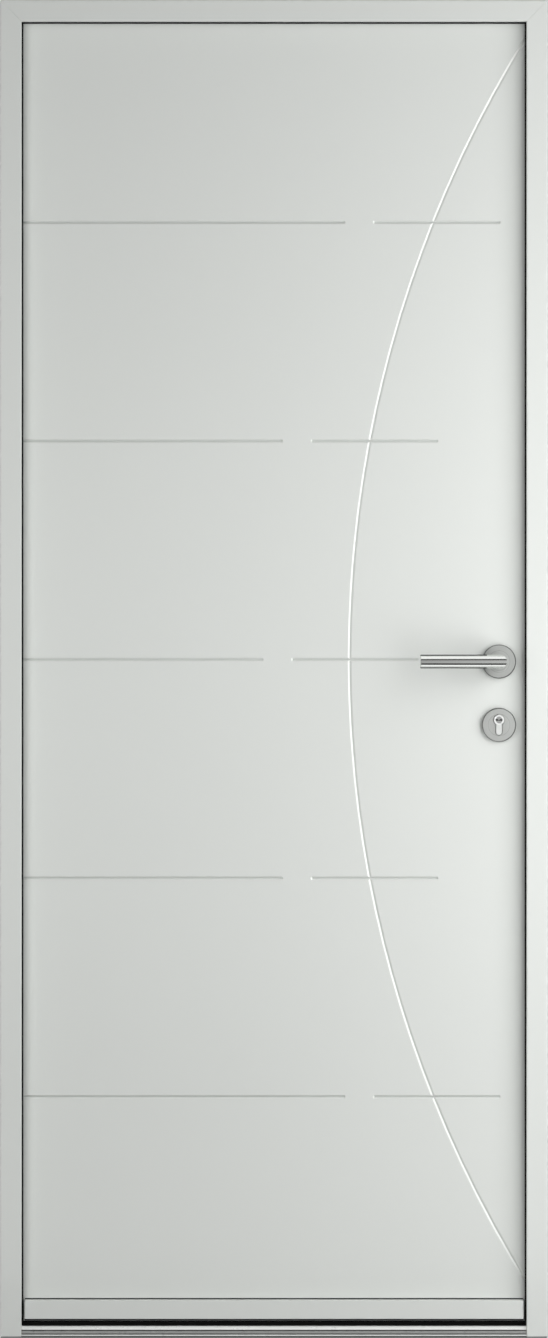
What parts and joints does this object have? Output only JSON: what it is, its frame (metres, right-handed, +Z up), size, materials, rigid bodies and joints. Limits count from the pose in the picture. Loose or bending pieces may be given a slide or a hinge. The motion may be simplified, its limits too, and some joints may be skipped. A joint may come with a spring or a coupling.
{
  "type": "entry door",
  "caption": "Aluminium entry door in its frame, with a flush leaf with routed lines, lever handles, a key cylinder, a drip rail and a low threshold",
  "frame": {"origin": "on the floor, middle of the frame's underside across its width and depth", "axes": "+X from the hinges to the lock, +Y from outside into the room, +Z up"},
  "size_m": [0.88, 0.182, 2.15],
  "materials": {
    "paint": "fine matt light grey powder coat",
    "mill_aluminium": "natural anodised",
    "insulating_bar": "glass filled polyamide, black",
    "seal_rubber": "black",
    "brushed_steel": "brushed",
    "zinc_steel": "zinc plated",
    "cylinder_brass": "nickel plated, satin",
    "cap_plastic": "grey moulding",
    "foot_plastic": "dark grey moulding",
    "edging": "glass filled composite, dark grey"
  },
  "bodies": {
    "frame": {"bottom_hinge_frame_half": "paint", "frame_seal": "seal_rubber", "head_break": "insulating_bar", "head_inner": "paint", "head_outer": "paint", "hinge_jamb_break": "insulating_bar", "hinge_jamb_inner": "paint", "hinge_jamb_outer": "paint", "hinge_pins": "paint", "jamb_feet": "foot_plastic", "lock_jamb_break": "insulating_bar", "lock_jamb_inner": "paint", "lock_jamb_outer": "paint", "middle_hinge_frame_half": "paint", "strike_plates": "zinc_steel", "threshold_break": "insulating_bar", "threshold_inner": "mill_aluminium", "threshold_outer": "mill_aluminium", "threshold_seal": "seal_rubber", "top_hinge_frame_half": "paint"},
    "leaf": {"bottom_hinge_leaf_half": "paint", "bottom_rail": "edging", "dead_bolt": "zinc_steel", "drip_rail": "paint", "drip_rail_bead": "seal_rubber", "drip_rail_caps": "cap_plastic", "foot_seal": "seal_rubber", "hinge_stile": "edging", "hook_bolts": "zinc_steel", "inner_skin": "paint", "inside_key_plug": "cylinder_brass", "inside_key_rose": "brushed_steel", "inside_lever_rose": "brushed_steel", "key_cylinder": "cylinder_brass", "latch_bolt": "zinc_steel", "lock_case": "zinc_steel", "lock_faceplate": "zinc_steel", "lock_stile": "edging", "middle_hinge_leaf_half": "paint", "outer_skin": "paint", "outside_key_rose": "brushed_steel", "outside_lever_rose": "brushed_steel", "top_hinge_leaf_half": "paint", "top_rail": "edging"},
    "levers": {"outside_lever": "brushed_steel", "inside_lever": "brushed_steel", "spindle": "brushed_steel"},
    "key": {"outside_key_plug": "cylinder_brass"}
  },
  "joints": [
    {"name": "leaf_swing", "type": "hinge", "parent": "frame", "child": "leaf", "pos_m": [-0.417, 0.048, 0], "axis": [0, 0, 1], "range_deg": [0, 105]},
    {"name": "lever_turn", "type": "hinge", "parent": "leaf", "child": "levers", "pos_m": [0.362, 0, 1.087], "axis": [0, -1, 0], "range_deg": [0, 40], "stiffness_Nm_per_rad": 1.5, "springref_deg": -45.84},
    {"name": "key_turn", "type": "hinge", "parent": "leaf", "child": "key", "pos_m": [0.362, 0, 0.993], "axis": [0, 1, 0], "continuous": true}
  ]
}
